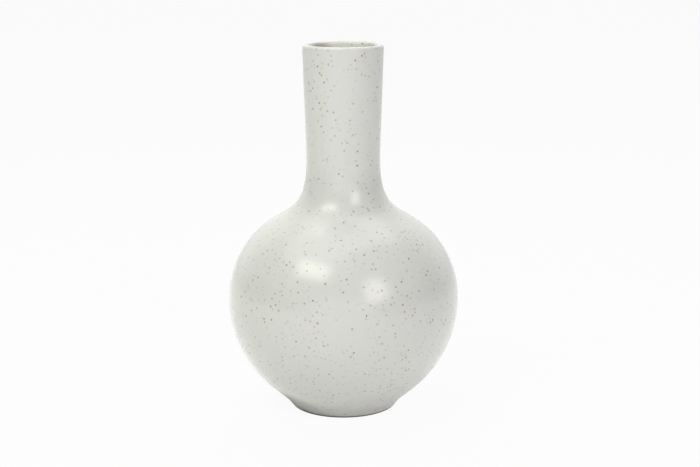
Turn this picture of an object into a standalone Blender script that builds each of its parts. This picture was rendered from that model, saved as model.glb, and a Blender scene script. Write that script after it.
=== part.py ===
"""Globe vase in glazed stoneware, built the way a potter builds it.

The globe is thrown as two bowls, and the neck and the foot ring are thrown by themselves. Each joint has a
V groove cut in the lower rim and a V ridge on the upper one, with a film of slip between them. Coats of glaze
then cover the outside, the inside and the underside, so no joint shows.

Metres, +Z up. The origin is on the vase's axis, in the plane that the foot stands on.
"""

import math

import bmesh
import bpy
from mathutils import Vector
from mathutils.geometry import interpolate_bezier

# Outline of the glazed outside, from the foot up
FOOT_RADIUS = 0.0476  # bottom edge of the foot
FOOT_LEAN = 23.7  # degrees that the foot's side leans outwards
FOOT_EASE = 0.0051  # pull of the foot's side on the bend under the belly
UNDERCUT_EASE = 0.0072  # pull of the belly's side on that bend
SPRING_HEIGHT = 0.0194  # height where the belly's curve springs from that bend
SPRING_ANGLE = 50.2  # degrees round the belly from its widest line down to there
BELLY_RADIUS = 0.1046  # widest line of the globe
BELLY_HEIGHT = 0.1009  # height of that line
DOME_RISE = 0.0916  # rise of the upper half, if it closed like a dome
SHOULDER_ANGLE = 34.0  # degrees round the dome from the widest line up to the shoulder
SHOULDER_EASE = 0.0462  # pull of the dome on the hollow of the shoulder
NECK_EASE = 0.0701  # pull of the neck on that hollow
WAIST_RADIUS = 0.0332  # narrowest place of the neck
WAIST_HEIGHT = 0.2370  # height of that place
MOUTH_RADIUS = 0.0360  # outside of the lip
HEIGHT = 0.3300  # crown of the lip

# Wall: clay between two coats of glaze
CLAY_WALL = 0.0042
GLAZE = 0.0005
GLAZE_GAP = 0.0003  # between a coat of glaze and what it lies on
MOUTH_GLAZE_DEPTH = 0.0150  # the outside coat's reach into the mouth

# Floor and foot ring
FLOOR_THICKNESS = 0.0065
FLOOR_FLAT_RADIUS = 0.0300
FLOOR_SPRING = 8.0  # degrees above the foot's spring where the floor's curve leaves the wall
RING_HEIGHT = 0.0075
RING_BORE = 0.0395  # radius of the hollow under the base, at the bottom
RING_TAPER = 0.0010  # how far that hollow draws in at the top
RING_EDGE = 0.0005  # bevel along the two bottom edges
BARE_BAND = 0.0004  # bare clay above the bevel on the outside of the foot
BASE_BARE_BAND = 0.0017  # bare clay above the bevel on the inside of the foot ring

# Joints between the thrown pieces
SLIP = 0.0004
GROOVE_WIDTH = 0.0024
GROOVE_DEPTH = 0.0010

# Fineness of the turned surfaces
FACETS = 36
FOOT_STEPS = 3
BELLY_STEPS = 5
DOME_STEPS = 4
SHOULDER_STEPS = 10
NECK_STEPS = 1
LIP_STEPS = 6
FLOOR_STEPS = 4
SNAP = 0.0006  # a point this near to a cut is dropped for the cut's own point
WELD = 0.000001  # points on the axis this near to each other become one
SHARP_EDGE = 35.0  # degrees

# Finishes: linear colour and roughness
GLAZE_COLOUR = (0.70, 0.72, 0.67)
GLAZE_ROUGHNESS = 0.42
CLAY_COLOUR = (0.28, 0.19, 0.12)
CLAY_ROUGHNESS = 0.9

WALL = CLAY_WALL + 2 * (GLAZE + GLAZE_GAP)
CLAY_DEPTH = GLAZE + GLAZE_GAP
LIP_RADIUS = WALL / 2
LIP_HEIGHT = HEIGHT - LIP_RADIUS
COAT_END = LIP_HEIGHT - MOUTH_GLAZE_DEPTH
BARE_TOP = RING_EDGE + BARE_BAND
BASE_HEIGHT = RING_HEIGHT + SLIP
EVEN_PULL = 2 / 3  # share of the way to a corner that bends round it evenly
UP = Vector((0, 1))


# A section is a list of points (distance from the axis, height).


def belly_curve(rise, start, end, steps):
    """Points round the globe between two angles from its widest line, and the curve's directions there."""
    points = []
    directions = []
    for step in range(steps + 1):
        angle = math.radians(start + (end - start) * step / steps)
        points.append(Vector((BELLY_RADIUS * math.cos(angle), BELLY_HEIGHT + rise * math.sin(angle))))
        directions.append(Vector((-BELLY_RADIUS * math.sin(angle), rise * math.cos(angle))).normalized())
    return points, directions


def bend(start, start_pull, end_pull, end, steps):
    """Points of a curve that leaves start along start_pull and comes to end along end_pull."""
    return interpolate_bezier(start, start + start_pull, end - end_pull, end, steps + 1)


def outside_line():
    """The outside from the foot plane up to the lip, and which of its points the floor's curve starts at."""
    drop = (BELLY_HEIGHT - SPRING_HEIGHT) / math.sin(math.radians(SPRING_ANGLE))
    floor_angle = SPRING_ANGLE - FLOOR_SPRING
    under, under_way = belly_curve(drop, -SPRING_ANGLE, -floor_angle, 1)
    belly, _ = belly_curve(drop, -floor_angle, 0, BELLY_STEPS)
    dome, dome_way = belly_curve(DOME_RISE, 0, SHOULDER_ANGLE, DOME_STEPS)

    lean = math.radians(FOOT_LEAN)
    foot_pull = FOOT_EASE * Vector((math.sin(lean), math.cos(lean)))
    foot = bend(Vector((FOOT_RADIUS, 0)), foot_pull, UNDERCUT_EASE * under_way[0], under[0], FOOT_STEPS)

    waist = Vector((WAIST_RADIUS, WAIST_HEIGHT))
    mouth = Vector((MOUTH_RADIUS, LIP_HEIGHT))
    neck_pull = NECK_EASE * (mouth - waist).normalized()
    shoulder = bend(dome[-1], SHOULDER_EASE * dome_way[-1], neck_pull, waist, SHOULDER_STEPS)
    neck = [waist.lerp(mouth, step / NECK_STEPS) for step in range(1, NECK_STEPS + 1)]

    line = foot + under[1:] + belly[1:] + dome[1:] + shoulder[1:] + neck
    return line, len(foot)


def inward(direction):
    """The way into the wall for someone who walks up the outside."""
    return Vector((-direction.y, direction.x))


def layer(depth):
    """The outside line moved into the wall by a depth, square to the surface."""
    line, _ = OUTSIDE
    ways = [(after - before).normalized() for before, after in zip(line, line[1:])]
    moved = []
    for point, before, after in zip(line, ways[:1] + ways[:-1] + [UP], ways + [UP]):
        mitre = (inward(before) + inward(after)).normalized()
        moved.append(point + mitre * (depth / mitre.dot(inward(after))))
    return moved


def lip_curve(depth):
    """The lip's half circle from the outside over to the inside, at a depth under the surface."""
    points = []
    for step in range(LIP_STEPS + 1):
        angle = math.pi * step / LIP_STEPS
        way = Vector((math.cos(angle), math.sin(angle)))
        points.append(Vector((MOUTH_RADIUS - LIP_RADIUS, LIP_HEIGHT)) + (LIP_RADIUS - depth) * way)
    return points


def inside_line(depth):
    """The inside from the middle of the floor up to the lip, at a depth under its surface."""
    _, floor_start = OUTSIDE
    wall = layer(WALL - depth)[floor_start:]
    floor_height = BASE_HEIGHT + FLOOR_THICKNESS + CLAY_DEPTH - depth
    flat_edge = Vector((FLOOR_FLAT_RADIUS, floor_height))
    way = (wall[1] - wall[0]).normalized()
    corner = wall[0] - way * ((wall[0].y - floor_height) / way.y)
    flat_pull = EVEN_PULL * (corner - flat_edge)
    wall_pull = EVEN_PULL * (wall[0] - corner)
    floor = bend(flat_edge, flat_pull, wall_pull, wall[0], FLOOR_STEPS)
    return [Vector((0, floor_height))] + floor + wall[1:]


def at_height(line, height):
    """The point where a rising line, or its first or last stretch drawn on, passes a height."""
    rising = [(low, high) for low, high in zip(line, line[1:]) if high.y > low.y]
    passing = [pair for pair in rising if pair[1].y >= height]
    low, high = (passing or rising[-1:])[0]
    return low + (high - low) * ((height - low.y) / (high.y - low.y))


def between(line, low, high):
    """The stretch of a rising line between two heights."""
    kept = [point for point in line if low + SNAP < point.y < high - SNAP]
    return [at_height(line, low)] + kept + [at_height(line, high)]


def below(line, high):
    """The stretch of a rising line up to a height."""
    return [point for point in line if point.y < high - SNAP] + [at_height(line, high)]


def v_profile(outer, inner, height):
    """The V at a height, from the outside in, half-way between the outer and inner edge of the lower rim."""
    middle = (outer.x + inner.x) / 2
    half = GROOVE_WIDTH / 2
    offsets = ((half, 0), (0, -GROOVE_DEPTH), (-half, 0))
    return [Vector((middle + across, height + down)) for across, down in offsets]


def ring_bore(height):
    """A point on the inner side of the foot ring."""
    return Vector((RING_BORE - RING_TAPER * height / RING_HEIGHT, height))


def ring_joint(height):
    """The V between the foot ring and the base."""
    return v_profile(at_height(layer(CLAY_DEPTH), RING_HEIGHT), ring_bore(RING_HEIGHT), height)


def wall_joint(seam, height):
    """The V across the clay wall at a seam."""
    outer = at_height(layer(CLAY_DEPTH), seam)
    inner = at_height(inside_line(CLAY_DEPTH), seam)
    return v_profile(outer, inner, height)


def foot_ring_section():
    bottom = [Vector((RING_BORE + RING_EDGE, 0)), Vector((FOOT_RADIUS - RING_EDGE, 0))]
    bare = between(layer(0), RING_EDGE, BARE_TOP)
    glazed = between(layer(CLAY_DEPTH), BARE_TOP, RING_HEIGHT)
    return bottom + bare + glazed + ring_joint(RING_HEIGHT) + [ring_bore(RING_HEIGHT), ring_bore(RING_EDGE)]


def lower_bowl_section():
    underside = [Vector((0, BASE_HEIGHT))] + ring_joint(BASE_HEIGHT)[::-1]
    outside = between(layer(CLAY_DEPTH), BASE_HEIGHT, BELLY_HEIGHT)
    inside = below(inside_line(CLAY_DEPTH), BELLY_HEIGHT)
    return underside + outside + wall_joint(BELLY_HEIGHT, BELLY_HEIGHT) + inside[::-1]


def upper_bowl_section():
    start = BELLY_HEIGHT + SLIP
    outside = between(layer(CLAY_DEPTH), start, WAIST_HEIGHT)
    inside = between(inside_line(CLAY_DEPTH), start, WAIST_HEIGHT)
    rim = wall_joint(WAIST_HEIGHT, WAIST_HEIGHT)
    ridge = wall_joint(BELLY_HEIGHT, start)
    return outside + rim + inside[::-1] + ridge[::-1]


def neck_section():
    start = WAIST_HEIGHT + SLIP
    outside = between(layer(CLAY_DEPTH), start, LIP_HEIGHT)
    inside = between(inside_line(CLAY_DEPTH), start, LIP_HEIGHT)
    ridge = wall_joint(WAIST_HEIGHT, start)
    return outside + lip_curve(CLAY_DEPTH)[1:-1] + inside[::-1] + ridge[::-1]


def outer_coat_line(depth):
    """The outside coat from the foot over the lip to its end in the mouth, at a depth under the surface."""
    outside = between(layer(depth), BARE_TOP + GLAZE_GAP, LIP_HEIGHT)
    inside = between(inside_line(depth), COAT_END, LIP_HEIGHT)
    return outside + lip_curve(depth)[1:-1] + inside[::-1]


def outer_glaze_section():
    return outer_coat_line(0) + outer_coat_line(GLAZE)[::-1]


def inner_glaze_section():
    top = COAT_END - GLAZE_GAP
    return below(inside_line(GLAZE), top) + below(inside_line(0), top)[::-1]


def base_coat_line(depth):
    """The underside's coat from the axis out and down inside the foot ring, at a depth under the clay."""
    roof = BASE_HEIGHT - depth
    side = Vector((depth, 0))
    return [Vector((0, roof)), ring_bore(roof) - side, ring_bore(RING_EDGE + BASE_BARE_BAND) - side]


def base_glaze_section():
    return base_coat_line(GLAZE_GAP) + base_coat_line(GLAZE_GAP + GLAZE)[::-1]


def finish(name, colour, roughness):
    """A plain material for one piece."""
    material = bpy.data.materials.new(name)
    material.use_nodes = True
    shader = material.node_tree.nodes["Principled BSDF"]
    shader.inputs["Base Color"].default_value = (*colour, 1)
    shader.inputs["Roughness"].default_value = roughness
    shader.inputs["Metallic"].default_value = 0
    return material


def turn(name, section, seat, material):
    """Turns a section once round the axis. The piece's origin is on the axis, at the height of its seat."""
    form = bmesh.new()
    points = [form.verts.new((point.x, 0, point.y - seat)) for point in section]
    pairs = list(zip(points, points[1:]))
    if section[0].x > 0:
        pairs.append((points[-1], points[0]))
    edges = [form.edges.new(pair) for pair in pairs]
    bmesh.ops.spin(
        form,
        geom=points + edges,
        cent=(0, 0, 0),
        axis=(0, 0, 1),
        angle=2 * math.pi,
        steps=FACETS,
        use_merge=True,
    )
    bmesh.ops.remove_doubles(form, verts=form.verts, dist=WELD)
    bmesh.ops.recalc_face_normals(form, faces=form.faces)
    mesh = bpy.data.meshes.new(name)
    form.to_mesh(mesh)
    form.free()
    mesh.materials.append(material)
    mesh.shade_smooth()
    mesh.set_sharp_from_angle(angle=math.radians(SHARP_EDGE))
    piece = bpy.data.objects.new(name, mesh)
    bpy.context.collection.objects.link(piece)
    piece.location.z = seat
    return piece


def build():
    for old in list(bpy.data.objects):
        bpy.data.objects.remove(old)

    vase = bpy.data.objects.new("globe_vase", None)
    bpy.context.collection.objects.link(vase)

    clay = (CLAY_COLOUR, CLAY_ROUGHNESS)
    glaze = (GLAZE_COLOUR, GLAZE_ROUGHNESS)
    pieces = (
        ("foot_ring", foot_ring_section(), 0, clay),
        ("lower_bowl", lower_bowl_section(), BASE_HEIGHT, clay),
        ("upper_bowl", upper_bowl_section(), BELLY_HEIGHT, clay),
        ("neck", neck_section(), WAIST_HEIGHT, clay),
        ("outer_glaze", outer_glaze_section(), 0, glaze),
        ("inner_glaze", inner_glaze_section(), BASE_HEIGHT, glaze),
        ("base_glaze", base_glaze_section(), BASE_HEIGHT, glaze),
    )
    for name, section, seat, looks in pieces:
        piece = turn(name, section, seat, finish(name, *looks))
        piece.parent = vase


OUTSIDE = outside_line()
build()
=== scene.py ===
# %% [markdown]
# # A globe vase in speckled satin glaze
#
# The vase is a thrown stoneware bottle: a globe on a short foot, a steep shoulder and a tall neck with a
# rounded lip. Its solids come ready packed, at their real size, but they are faceted and plain. This
# lesson gives them their looks: a smooth wall in place of the facets, a satin glaze full of iron specks,
# bare clay under the foot, and soft studio light. Everything below is in metres, with +Z up along the
# vase's axis.

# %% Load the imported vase
import math

import bpy
import numpy as np
from mathutils import Matrix, Vector


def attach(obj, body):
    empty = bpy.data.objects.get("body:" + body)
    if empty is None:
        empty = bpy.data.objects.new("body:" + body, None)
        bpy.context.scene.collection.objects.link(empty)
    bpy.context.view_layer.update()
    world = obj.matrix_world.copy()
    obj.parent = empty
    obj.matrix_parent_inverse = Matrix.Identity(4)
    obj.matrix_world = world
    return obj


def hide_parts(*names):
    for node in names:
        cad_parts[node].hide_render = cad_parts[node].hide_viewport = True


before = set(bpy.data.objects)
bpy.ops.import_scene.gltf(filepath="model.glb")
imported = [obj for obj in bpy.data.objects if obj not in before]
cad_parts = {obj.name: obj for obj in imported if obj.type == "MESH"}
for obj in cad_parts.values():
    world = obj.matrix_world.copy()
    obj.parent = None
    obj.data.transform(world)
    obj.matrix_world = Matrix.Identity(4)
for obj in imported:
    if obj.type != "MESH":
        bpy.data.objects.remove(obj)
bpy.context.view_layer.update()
print("nodes:", ", ".join(sorted(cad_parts)))

# %% [markdown]
# ## Reading an outline back
#
# Everything on this vase was turned on a wheel, so each piece is one closed outline swept round the axis.
# The outlines could be typed in again here, but then a change to the solids would leave the looks behind.
# Instead each outline is read from its solid: the mesh has a row of corners exactly on the +X side, and
# their edges, walked one by one, are the outline. A floor's flat disc has no corner on the axis, so its
# two loose ends run on to it.

# %% Walk the outline of a solid
DECIMALS = 6  # corners that agree to a micrometre are one corner


def outline_of(node):
    """The points, as (radius, height), that a solid was turned from, with the clay on their left."""
    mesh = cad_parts[node].data
    places = [tuple(round(c, DECIMALS) for c in vertex.co) for vertex in mesh.vertices]
    neighbours = {place: set() for place in places if place[0] >= 0 and place[1] == 0}
    for edge in mesh.edges:
        a, b = (places[i] for i in edge.vertices)
        if a != b and a in neighbours and b in neighbours:
            neighbours[a].add(b)
            neighbours[b].add(a)
    loose_ends = [place for place in neighbours if len(neighbours[place]) == 1]
    path = [min(loose_ends or neighbours)]
    while onward := neighbours[path[-1]] - set(path):
        path.append(min(onward))
    points = [(x, z) for x, _, z in path]
    if loose_ends:
        points = [(0.0, points[0][1]), *points, (0.0, points[-1][1])]
    points = np.array(points)
    r, z = points.T
    signed_area = r @ np.roll(z, -1) - z @ np.roll(r, -1)
    return points if signed_area > 0 else points[::-1]


OUTLINES = {node: outline_of(node) for node in sorted(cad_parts)}
for node, outline in OUTLINES.items():
    print(node, "has an outline of", len(outline), "points")

# %% [markdown]
# ## From facets to a smooth wall
#
# A few dozen points are enough for a solid, but light slides over glaze, and every facet would show in
# it. A Subdivision Surface would round the facets off, and shrink the pot while doing so. A spline that
# runs through the points keeps the size: between two points it is a cubic, and where two cubics meet,
# their slope and their bend agree, so a reflection crosses without a kink.

# %% Draw a fine line through some points
def spline(points, first_way, last_way, finest_turn):
    """Fine points on the smoothest line through some points. Its ways at the ends may be given."""
    steps = np.linalg.norm(np.diff(points, axis=0), axis=1)
    slopes = np.diff(points, axis=0) / steps[:, None]
    last = len(steps)
    system = np.zeros((last + 1, last + 1))
    change = np.zeros((last + 1, 2))
    for i in range(1, last):
        system[i, i - 1:i + 2] = steps[i - 1], 2 * (steps[i - 1] + steps[i]), steps[i]
        change[i] = 6 * (slopes[i] - slopes[i - 1])
    system[0, 0] = system[last, last] = 1
    if first_way is not None:
        system[0, :2] = 2 * steps[0], steps[0]
        change[0] = 6 * (slopes[0] - first_way)
    if last_way is not None:
        system[last, -2:] = steps[-1], 2 * steps[-1]
        change[last] = 6 * (last_way - slopes[-1])
    bend = np.linalg.solve(system, change)
    line = []
    for i, step in enumerate(steps):
        turn = step * np.linalg.norm(bend[i:i + 2], axis=1).max()
        t = np.linspace(0, 1, 1 + max(1, math.ceil(turn / finest_turn)))[:-1, None]
        s = 1 - t
        pull = ((s ** 3 - s) * bend[i] + (t ** 3 - t) * bend[i + 1]) * step ** 2 / 6
        line.append(s * points[i] + t * points[i + 1] + pull)
    return np.vstack([*line, points[-1:]])


ARCH = np.array([(0, 0), (1, 1), (2, 0)])
for degrees in (20, 5):
    arch = spline(ARCH, None, None, math.radians(degrees))
    print("an arch through 3 points, in turns of up to", degrees, "degrees, has", len(arch), "points")

# %% [markdown]
# ## Corners and straight runs
#
# Not everything on the pot is a curve. A sharp turn, such as the edge of a coat of glaze, is a corner,
# and splits the outline into faces. Within a face, a long run such as the neck is straight, and so is a
# short run beside much finer steps, such as the inside of the mouth below the lip. Splines are drawn only
# between those.

# %% Split an outline into smooth faces
CORNER = math.radians(35)  # a sharper turn than this is a real corner
LONG_RUN = 0.025           # a longer step than this is straight on the real pot
LONE_RUN = 3               # and so is one that is this many times as long as the step beside it


def corners_of(points):
    """Which points of a closed outline are corners."""
    before = points - np.roll(points, 1, axis=0)
    after = np.roll(before, -1, axis=0)
    cross = before[:, 0] * after[:, 1] - before[:, 1] * after[:, 0]
    return np.flatnonzero(np.abs(np.arctan2(cross, (before * after).sum(axis=1))) > CORNER)


def smooth_face(points, finest_turn):
    """The stretch of an outline from one corner to the next, drawn fine."""
    steps = np.linalg.norm(np.diff(points, axis=0), axis=1)
    ways = np.diff(points, axis=0) / steps[:, None]
    last = len(steps)
    straight = []
    for i, step in enumerate(steps):
        beside = [steps[k] for k in (i - 1, i + 1) if 0 <= k < last]
        straight.append(step > LONG_RUN or any(step > LONE_RUN * other for other in beside))
    stops = [0, *(i for i in range(1, last) if straight[i - 1] or straight[i]), last]
    line = [points[:1]]
    for start, stop in zip(stops, stops[1:]):
        if straight[start]:
            line.append(points[stop:stop + 1])
            continue
        first_way = ways[start - 1] if start > 0 else None
        last_way = ways[stop] if stop < last else None
        line.append(spline(points[start:stop + 1], first_way, last_way, finest_turn)[1:])
    return np.vstack(line)


def smooth_faces(points, finest_turn):
    """A closed outline as smooth faces, each from one corner to the next."""
    corners = corners_of(points)
    count = len(points)
    ends = [*corners[1:], corners[0] + count]
    stretches = [points[np.arange(start, end + 1) % count] for start, end in zip(corners, ends)]
    return [smooth_face(stretch, finest_turn) for stretch in stretches]


for node, outline in OUTLINES.items():
    print(node, "has", len(corners_of(outline)), "corners in its outline")

# %% [markdown]
# ## A flat map of the wall
#
# A texture needs a place on a flat map for every face. The map unrolls the wall like the label of a
# bottle, with its seam at the back. A coat of glaze is a thin shell with two long faces, and the one that
# lies on the clay is never seen, so it gets only a narrow strip of the map. That keeps the specks on the
# other face sharp.

# %% Share out the map
HIDDEN_STRIP = 0.04  # share of the map for what lies on the clay


def seen_face(faces, pick):
    """Which of a coat's two long faces is seen: the outer one for max, the inner one for min."""
    lengths = [np.linalg.norm(np.diff(face, axis=0), axis=1).sum() for face in faces]
    long_faces = np.argsort(lengths)[-2:]
    return pick(long_faces, key=lambda k: faces[k][:, 0].max())


def map_heights(faces, seen):
    """How high each point of the outline lies on the map."""
    shares = [np.linalg.norm(np.diff(face, axis=0), axis=1) for face in faces]
    if seen is not None:
        hidden = sum(share.sum() for k, share in enumerate(shares) if k != seen)
        for k, share in enumerate(shares):
            share *= (1 - HIDDEN_STRIP) / share.sum() if k == seen else HIDDEN_STRIP / hidden
    heights = np.cumsum(np.concatenate(shares))
    return [0.0, *(heights / heights[-1])]


for coat, pick in (("outer_glaze", max), ("inner_glaze", min)):
    faces = smooth_faces(OUTLINES[coat], CORNER)
    print(coat, "has", len(faces), "faces, and number", seen_face(faces, pick) + 1, "is seen")

# %% [markdown]
# ## Turning a piece
#
# The smooth outline is now swept round the axis. Blender's Spin or Screw would do it too, but building
# the mesh here keeps every corner exactly on the outline, and gives each face its place on the map at the
# same time. The solids have 36 flats round the axis. A multiple of that makes the smooth wall touch every
# corner of the solid.

# %% Sweep an outline round the axis
FLATS = 36
ON_AXIS = 1e-7
BACK = math.pi / 2  # the map's seam is on the +Y side


def turned_piece(name, node, slot, material, fineness, finest_turn, pick=None):
    """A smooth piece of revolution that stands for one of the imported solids."""
    faces = smooth_faces(OUTLINES[node], finest_turn)
    line = np.vstack([face[:-1] for face in faces])
    heights = map_heights(faces, seen_face(faces, pick) if pick else None)
    around = FLATS * fineness
    angles = BACK + np.arange(around) * 2 * math.pi / around
    corners = []
    rings = []
    for r, z in line:
        on_axis = r < ON_AXIS
        rings.append([len(corners)] * around if on_axis else range(len(corners), len(corners) + around))
        corners.extend((r * math.cos(a), r * math.sin(a), z) for a in angles[:1 if on_axis else around])
    walls = []
    places = []
    for i, ring in enumerate(rings):
        above = rings[(i + 1) % len(rings)]
        for j in range(around):
            k = (j + 1) % around
            left, right = j / around, (j + 1) / around
            wall = [(ring[j], left, heights[i]), (ring[k], right, heights[i]),
                    (above[k], right, heights[i + 1]), (above[j], left, heights[i + 1])]
            wall = [spot for n, spot in enumerate(wall) if spot[0] != wall[n - 1][0]]
            if len(wall) > 2:
                walls.append([corner for corner, _, _ in wall])
                places.extend(place for _, *place in wall)
    mesh = bpy.data.meshes.new(name)
    mesh.from_pydata(corners, [], walls)
    mesh.uv_layers.new(name="OFBake").uv.foreach_set("vector", np.array(places, np.float32).ravel())
    mesh.shade_smooth()
    mesh.set_sharp_from_angle(angle=CORNER)
    mesh.materials.append(material)
    piece = bpy.data.objects.new(name, mesh)
    bpy.context.scene.collection.objects.link(piece)
    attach(piece, "root")
    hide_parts(node)
    print(name, "has", len(walls), "faces")


# %% [markdown]
# ## Shader sums as Python
#
# A material is a network of nodes. Built by hand it takes three lines a node, so this small class wraps a
# socket: adding or multiplying two of them makes the Math node, and node() makes any other kind, with its
# settings first and its sockets after. Colours and vectors don't go through sums, because a Math node
# would turn them grey.

# %% Wrap a socket
COLOUR_A, COLOUR_B, COLOUR_OUT = 6, 7, 2  # a Mix node's sockets for colours


class Shade:
    """A socket in a network of nodes. Sums on it add Math nodes, and node() adds any other kind."""

    def __init__(self, tree, socket=None):
        self.tree = tree
        self.socket = socket

    def node(self, kind, settings=None, sockets=None):
        """Adds a node, with its settings first and then the values or links of its sockets."""
        made = self.tree.nodes.new("ShaderNode" + kind)
        for name, value in (settings or {}).items():
            setattr(made, name, value)
        for name, value in (sockets or {}).items():
            if isinstance(value, Shade):
                self.tree.links.new(value.socket, made.inputs[name])
            else:
                made.inputs[name].default_value = value
        return made

    def read(self, kind, output, settings=None, sockets=None):
        """Adds a node and returns one of its outputs."""
        return Shade(self.tree, self.node(kind, settings, sockets).outputs[output])

    def math(self, operation, first, second):
        return self.read("Math", 0, {"operation": operation}, {0: first, 1: second})

    def __add__(self, other):
        return self.math("ADD", self, other)

    def __sub__(self, other):
        return self.math("SUBTRACT", self, other)

    def __mul__(self, other):
        return self.math("MULTIPLY", self, other)

    def __pow__(self, other):
        return self.math("POWER", self, other)

    def __lt__(self, other):
        return self.math("LESS_THAN", self, other)

    def __rsub__(self, other):
        return self.math("SUBTRACT", other, self)

    __radd__ = __add__
    __rmul__ = __mul__

    def mix(self, colour, other):
        """A colour that goes over to another one as this value goes from 0 to 1."""
        sockets = {0: self, COLOUR_A: colour, COLOUR_B: other}
        return self.read("Mix", COLOUR_OUT, {"data_type": "RGBA"}, sockets)

    def ramp(self, low, high):
        """A value that goes softly from 0 to 1 as this one goes from low to high."""
        sockets = {"Value": self, "From Min": low, "From Max": high}
        return self.read("MapRange", 0, {"interpolation_type": "SMOOTHSTEP"}, sockets)

    def ball(self, middle, full, none):
        """A soft ball in space: 1 up to one distance from its middle, and 0 from another one on."""
        away = self.read("VectorMath", "Value", {"operation": "DISTANCE"}, {0: self, 1: middle})
        return away.ramp(none, full)

    def noise(self, size, detail=2.0):
        """Cloudy noise from 0 to 1, whose clouds are about this many metres across."""
        return self.read("TexNoise", "Fac", None, {"Vector": self, "Scale": 1 / size, "Detail": detail})

    def bump(self):
        """The way that a surface faces when it is raised by this height, in metres."""
        return self.read("Bump", 0, None, {"Height": self, "Distance": 1.0, "Strength": 1.0})


def empty_network(owner):
    """A material's or a world's own network, emptied, as a socket to start from."""
    owner.use_nodes = True
    owner.node_tree.nodes.clear()
    return Shade(owner.node_tree)


# %% [markdown]
# ## Iron specks
#
# The specks are grains of iron in the clay and the glaze. In the kiln they melt, come up through the coat
# and bleed into it: each is a soft tan dot of about a millimetre, and the strongest have a brown heart.
# There are hundreds on each side, so they aren't painted one by one. A Voronoi texture scatters one point
# in every cell of a grid in space, and the distance to it draws the dot. The wall cuts those balls at any
# depth, so dots come out strong and faint, as grains lie deep or shallow in the real coat. The cell's own
# colour works as a lottery ticket: one channel says whether the cell has a grain, and one how strong it
# is. The grid is turned askew first, because a column of upright cells along the straight neck would show
# as a chain of specks.

# %% Scatter grains of iron
SPECK_SPACING = 0.0034        # side of a cell of the grid
SPECK_TILT = (0.7, 0.5, 1.4)  # turns of the grid about its axes, in radians
SPECK_REACH = 0.00155         # how far a grain bleeds
SPECK_SHARE = 0.83            # share of the cells with a grain
SPECK_CROWD = 0.030           # size of a patch with more or fewer specks
SPECK_FAINTNESS = 2.2         # a higher power leaves fewer strong specks
NOISE_MEAN = 0.5


def iron_specks(place):
    """How strong the specks are at a place, from 0 to 1."""
    turn = {"Vector": place, "Rotation": SPECK_TILT}
    grid = place.read("VectorRotate", 0, {"rotation_type": "EULER_XYZ"}, turn)
    cells = place.node("TexVoronoi", None, {"Vector": grid, "Scale": 1 / SPECK_SPACING})
    away = Shade(place.tree, cells.outputs["Distance"]) * (SPECK_SPACING / SPECK_REACH)
    ticket = place.node("SeparateColor", None, {"Color": Shade(place.tree, cells.outputs["Color"])})
    chance, strength = (Shade(place.tree, ticket.outputs[i]) for i in range(2))
    there = chance < grid.noise(SPECK_CROWD, 0.0) * (SPECK_SHARE / NOISE_MEAN)
    return away.ramp(1, 0) * there * strength ** SPECK_FAINTNESS


cell_volume = (SPECK_SPACING * 1000) ** 3
print("one grain of iron in about", round(cell_volume / SPECK_SHARE), "cubic millimetres")

# %% [markdown]
# ## The glaze
#
# The coat is a satin glaze, pale grey with a touch of green. It isn't polished like a window and isn't
# dull like chalk: a highlight on it is a soft patch. The Principled shader with a low roughness gives
# that. Over the even colour go a drift of tone, where the coat lies thicker or thinner, then the specks
# and their hearts. At the bottom of the foot the coat thins out, and the clay shows through as a brown
# line. Inside the mouth the colour is painted paler and warmer. This is painted light, standing in for
# the light that the lamps don't bring in there. On the left of the mouth the colour is a darker brown.
# Both could be put on the map, but a soft ball in space is simpler: its middle lies within the mouth, so
# that it reaches the wall there and ends before the outside. The surface is never quite flat either: a
# slow swell from the wheel and a fine grain from the melt bend the highlights a little.

# %% Mix the glaze
GLAZE_THICK = (0.71, 0.73, 0.6875, 1)
GLAZE_THIN = (0.69, 0.71, 0.6625, 1)
DRIFT_SIZES = 0.05, 0.0015   # clouds of thicker and thinner coat, and the mottle on them
CLOUD_SHARE = 0.6            # the mottle has the rest
SPECK_TAN = (0.40, 0.23, 0.05, 1)
TAN_COVER = 0.96             # how much of the glaze's colour the strongest tan hides
SPECK_HEART = (0.09, 0.045, 0.02, 1)
HEART_SHARPNESS = 5          # a higher power keeps the brown to the middle of the strongest specks
# painted light: the inside of the mouth is painted paler and warmer, within the ball on the next line
MOUTH_PAINTED_LIGHT = (0.82, 0.825, 0.755, 1)
MOUTH_LIGHT_BALL = (0, 0, 0.315), 0.0320, 0.0345  # its middle, and the distances where it is full and ends
# darker brown on the left inside the mouth, within the ball on the next line
MOUTH_LEFT_BROWN = (0.53, 0.47, 0.41, 1)
MOUTH_LEFT_BALL = (-0.0113, 0.0113, 0.320), 0.0145, 0.0193  # likewise
FOOT_BROWN = (0.25, 0.15, 0.09, 1)
FOOT_FADE = 0.0024, 0.0010   # heights over which the coat thins out to the clay
SWELL, SWELL_HEIGHT = 0.03, 0.00005     # how wide its waves are, and how high
GRAIN, GRAIN_HEIGHT = 0.0008, 0.000003  # likewise
SATIN = 0.19                 # roughness where the coat is smoothest
SATIN_SPREAD = 0.06          # how much rougher its dullest patches are
SATIN_PATCH = 0.004          # size of such a patch
GLAZE_IOR = 1.5              # as of glass


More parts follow.
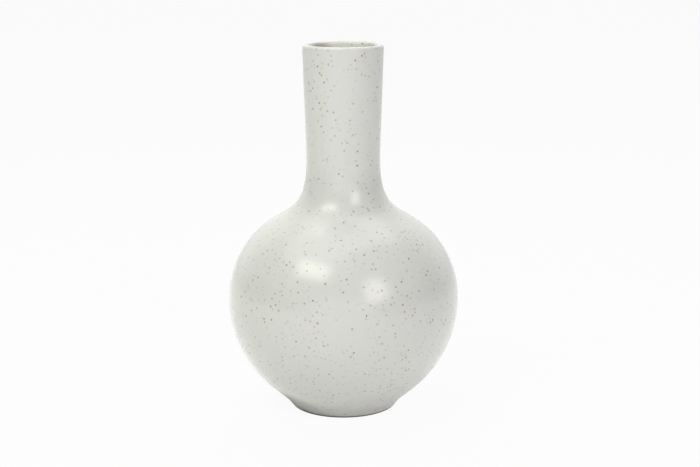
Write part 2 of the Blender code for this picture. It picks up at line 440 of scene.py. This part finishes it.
def satin_glaze():
    """The material of the three coats."""
    material = bpy.data.materials.new("satin_glaze")
    start = empty_network(material)
    place = start.read("TexCoord", "Object")
    specks = iron_specks(place)
    clouds, mottle = (place.noise(size) for size in DRIFT_SIZES)
    drift = clouds * CLOUD_SHARE + mottle * (1 - CLOUD_SHARE)
    colour = drift.mix(GLAZE_THIN, GLAZE_THICK)
    # painted light: paler and warmer inside the mouth
    colour = place.ball(*MOUTH_LIGHT_BALL).mix(colour, MOUTH_PAINTED_LIGHT)
    # darker brown on the left inside the mouth
    colour = place.ball(*MOUTH_LEFT_BALL).mix(colour, MOUTH_LEFT_BROWN)
    colour = (specks * TAN_COVER).mix(colour, SPECK_TAN)
    colour = (specks ** HEART_SHARPNESS).mix(colour, SPECK_HEART)
    level = place.read("SeparateXYZ", "Z", None, {0: place})
    colour = level.ramp(*FOOT_FADE).mix(colour, FOOT_BROWN)
    height = place.noise(SWELL) * SWELL_HEIGHT + place.noise(GRAIN) * GRAIN_HEIGHT
    coat = start.read("BsdfPrincipled", 0, None, {
        "Base Color": colour,
        "Roughness": place.noise(SATIN_PATCH) * SATIN_SPREAD + SATIN,
        "IOR": GLAZE_IOR,
        "Normal": height.bump(),
    })
    start.node("OutputMaterial", None, {"Surface": coat})
    print("glaze:", len(material.node_tree.nodes), "nodes")
    return material


GLAZE = satin_glaze()

# %% [markdown]
# ## The clay
#
# Under the coat the pot is brown stoneware. It shows as a hairline where the foot stands on the table,
# and from below as the ring that was wiped clean before firing, so that the vase wouldn't stick to the
# shelf of the kiln.

# %% Mix the clay
CLAY_DARK = (0.16, 0.095, 0.055, 1)
CLAY_LIGHT = (0.30, 0.20, 0.125, 1)
GRIT, GRIT_HEIGHT = 0.0012, 0.00012  # how wide the grains are, and how high they stand out
GRIT_DETAIL = 6.0     # finer and finer grit within the grit
GRIT_SHARE = 0.6      # how much of the clay's tone the grit makes, and streaks make the rest
STREAK = 0.02         # size of a streak
CLAY_ROUGHNESS = 0.75
GRIT_ROUGHNESS = 0.2  # how much the grit adds to it


def bare_clay():
    """The material of the four sections."""
    material = bpy.data.materials.new("bare_clay")
    start = empty_network(material)
    place = start.read("TexCoord", "Object")
    grit = place.noise(GRIT, GRIT_DETAIL)
    tone = grit * GRIT_SHARE + place.noise(STREAK) * (1 - GRIT_SHARE)
    body = start.read("BsdfPrincipled", 0, None, {
        "Base Color": tone.mix(CLAY_DARK, CLAY_LIGHT),
        "Roughness": grit * GRIT_ROUGHNESS + CLAY_ROUGHNESS,
        "Normal": (grit * GRIT_HEIGHT).bump(),
    })
    start.node("OutputMaterial", None, {"Surface": body})
    print("clay:", len(material.node_tree.nodes), "nodes")
    return material


CLAY = bare_clay()

# %% [markdown]
# ## The clay body
#
# A globe of this size is thrown in sections and joined leather-hard: the foot ring, the two halves of the
# globe and the neck, with a small ridge and groove at each joint. Only the foot ring's underside can be
# seen.

# %% Turn the clay sections
PLAIN = {"fineness": 4, "finest_turn": math.radians(6)}  # for what is hidden, or seen from below only

for section in ("foot_ring", "lower_bowl", "upper_bowl", "neck"):
    turned_piece("clay_" + section, section, "clay", CLAY, **PLAIN)

# %% [markdown]
# ## The coats of glaze
#
# Three coats lie on the clay. One covers the whole outside, runs over the lip and ends a little way down
# the mouth. The liner starts there and makes the inside tight. The third is under the base, inside the
# foot ring.

# %% Turn the coats
OUTSIDE = {"fineness": 6, "finest_turn": math.radians(3.5), "pick": max}
INSIDE = {"fineness": 5, "finest_turn": math.radians(5), "pick": min}

turned_piece("coat_outer_glaze", "outer_glaze", "glaze", GLAZE, **OUTSIDE)
turned_piece("coat_inner_glaze", "inner_glaze", "glaze", GLAZE, **INSIDE)
turned_piece("coat_base_glaze", "base_glaze", "glaze", GLAZE, **PLAIN)

# %% [markdown]
# ## Floor and background
#
# The vase stands on a white table in front of a white backdrop, and both run on out of sight. White paper
# under studio light photographs a little grey, so for the camera most of the table's brightness is given
# off, and the rest is light with the vase's soft shadow in it. Near its edges the glaze mirrors the table
# and the backdrop, and that draws the pale rims there. So a reflection sees the lit table with the dark
# shadow under the foot, and some white on top, because the real table was brighter than a picture can
# show. The left end of the foot is dark in the photograph, so close to the foot the table lay in deeper
# shade there, which is one more soft ball. The backdrop is the part of the sky behind the vase. It lights
# the vase from there, and the room in front stays dark.

# %% Lay the floor and hang the sky
WHITE = 0.985                # brightness of the background in the picture
FLOOR_RADIUS = 12.0
FLOOR_CORNERS = 120
FLOOR_COLOUR = (0.86, 0.86, 0.86, 1)
GIVEN_OFF = 0.96             # share of the floor's brightness that is given off, for the camera
MIRRORED = 0.43              # white that is added where the glaze mirrors the floor
SHADE_BALL = (-0.014, 0.002, 0), 0.044, 0.054  # its middle, and the distances where it is full and ends
SHADE_DEPTH = 0.6            # share of the floor's light that is missing in the shade
NEUTRAL = (1, 1, 1, 1)
BACKDROP_LIGHT = 1.11        # brightness of the backdrop as the vase sees it
BACKDROP_EDGE = 0.15, 0.75   # where it begins and is full, from 0 beside the vase to 1 behind it


def ray_kinds(start):
    """Two masks: rays from the camera or through glass, and rays off a glossy surface."""
    path = start.node("LightPath")
    camera, glass, gloss = (Shade(start.tree, path.outputs[f"Is {kind} Ray"])
                            for kind in ("Camera", "Transmission", "Glossy"))
    return camera.math("MAXIMUM", camera, glass), gloss


def lay_floor():
    """A wide round table, with its material."""
    mesh = bpy.data.meshes.new("floor")
    around = np.linspace(0, 2 * math.pi, FLOOR_CORNERS, endpoint=False)
    rim = [(FLOOR_RADIUS * math.cos(a), FLOOR_RADIUS * math.sin(a), 0) for a in around]
    mesh.from_pydata(rim, [], [range(len(rim))])
    floor = bpy.data.objects.new("floor", mesh)
    bpy.context.scene.collection.objects.link(floor)
    material = bpy.data.materials.new("white_table")
    start = empty_network(material)
    paper = start.read("BsdfDiffuse", 0, None, {"Color": FLOOR_COLOUR})
    shade = start.read("TexCoord", "Object").ball(*SHADE_BALL) * SHADE_DEPTH
    lit = start.read("MixShader", 0, None, {0: shade, 1: paper})
    glow = start.read("Emission", 0, None, {"Strength": WHITE})
    direct, gloss = ray_kinds(start)
    shown = start.read("MixShader", 0, None, {0: direct * GIVEN_OFF, 1: lit, 2: glow})
    mirrored = start.read("MixShader", 0, None, {0: gloss * (1 - shade) * MIRRORED, 2: glow})
    both = start.read("AddShader", 0, None, {0: shown, 1: mirrored})
    start.node("OutputMaterial", None, {"Surface": both})
    mesh.materials.append(material)


def hang_sky():
    """A world that is white for the camera, and a backdrop for the vase."""
    world = bpy.data.worlds.new("studio")
    bpy.context.scene.world = world
    start = empty_network(world)
    white = start.read("Background", 0, None, {"Strength": WHITE, "Color": NEUTRAL})
    backdrop = start.read("Background", 0, None, {"Strength": BACKDROP_LIGHT, "Color": NEUTRAL})
    way = start.read("SeparateXYZ", "Y", None, {0: start.read("TexCoord", "Generated")})
    behind = way.ramp(*BACKDROP_EDGE)
    lit = start.read("MixShader", 0, None, {0: behind, 2: backdrop})
    direct, _ = ray_kinds(start)
    sky = start.read("MixShader", 0, None, {0: direct, 1: lit, 2: white})
    start.node("OutputWorld", None, {"Surface": sky})


lay_floor()
hang_sky()
print("floor and sky are white for the camera, and the backdrop lights the vase with", BACKDROP_LIGHT)

# %% [markdown]
# ## Lamps
#
# The bright patches on the belly say where the lamps stood: a wide soft box high on the left, and a tall
# one lower on the right. Both show again on the shoulder, and a third patch there comes from a small lamp
# high up behind. A panel overhead lights the shoulder and the lip, and a broad low reflector in front
# fills the belly. Each is an area lamp aimed at the belly, given by its direction, its size and how
# bright its face is. The two big boxes stand well away: up close they would light the neck, which is
# nearer to them, more than the belly. None of the lamps shows in the picture itself.

# %% Set up the soft boxes
BELLY = Vector((0, 0, 0.11))
SOFT_BOXES = (
    {"name": "soft_box_left", "turn": -42.1, "rise": 47.4, "away": 3.2, "size": (1.80, 0.95),
     "glow": 6.0, "colour": (0.98, 1, 0.86)},
    {"name": "soft_box_right", "turn": 34.9, "rise": 26.0, "away": 6.4, "size": (2.45, 2.95),
     "glow": 5.05, "colour": (0.97, 0.91, 1)},
    {"name": "spot_behind", "turn": -146, "rise": 67, "away": 1.6, "size": (0.30, 0.28),
     "glow": 1.5, "colour": (1, 1, 1)},
    {"name": "panel_overhead", "turn": -135, "rise": 80, "away": 1.8, "size": (3.0, 1.8),
     "glow": 1.52, "colour": (1, 1, 1)},
    {"name": "reflector_front", "turn": 0, "rise": 10, "away": 3.8, "size": (4.4, 1.3),
     "glow": 1.3, "colour": (0.97, 0.91, 1)},
)


def soft_box(name, turn, rise, away, size, glow, colour):
    """An area lamp aimed at the belly, turned from the front to the right and raised, in degrees."""
    lamp = bpy.data.lights.new(name, "AREA")
    lamp.shape = "RECTANGLE"
    lamp.size, lamp.size_y = size
    lamp.energy = glow * math.pi * size[0] * size[1]
    lamp.color = colour
    turn, rise = math.radians(turn), math.radians(rise)
    way = Vector((math.sin(turn) * math.cos(rise), -math.cos(turn) * math.cos(rise), math.sin(rise)))
    box = bpy.data.objects.new(name, lamp)
    box.location = BELLY + way * away
    box.rotation_euler = way.to_track_quat("Z", "Y").to_euler()
    box.visible_camera = False
    bpy.context.scene.collection.objects.link(box)
    print(name, "at", tuple(round(c, 2) for c in box.location))


for settings in SOFT_BOXES:
    soft_box(**settings)

# %% [markdown]
# ## Camera
#
# The photograph looks slightly down on the vase, so the mouth shows as a thin ellipse. Its distance,
# height and lens were found from that ellipse, the foot and the outline. It is turned by a hair, because
# the vase isn't quite in the middle of the picture and leans by a tenth of a degree.

# %% Place the camera
CAMERA_PLACE = (0.0, -1.2637, 0.4423)
LOOK_DOWN = math.radians(12.636)
LOOK_RIGHT = math.radians(0.2665)
ROLL = math.radians(-0.09)
LENS = 73.46     # millimetres
SENSOR = 36      # millimetres wide

camera = bpy.data.objects.new("camera", bpy.data.cameras.new("camera"))
camera.data.lens = LENS
camera.data.sensor_width = SENSOR
camera.matrix_world = (Matrix.Translation(CAMERA_PLACE)
                       @ Matrix.Rotation(-LOOK_RIGHT, 4, "Z")
                       @ Matrix.Rotation(math.pi / 2 - LOOK_DOWN, 4, "X")
                       @ Matrix.Rotation(ROLL, 4, "Z"))
bpy.context.scene.collection.objects.link(camera)
bpy.context.scene.camera = camera
bpy.context.scene.view_settings.view_transform = "Standard"
print("lens", LENS, "mm, looking down by", round(math.degrees(LOOK_DOWN), 1), "degrees")
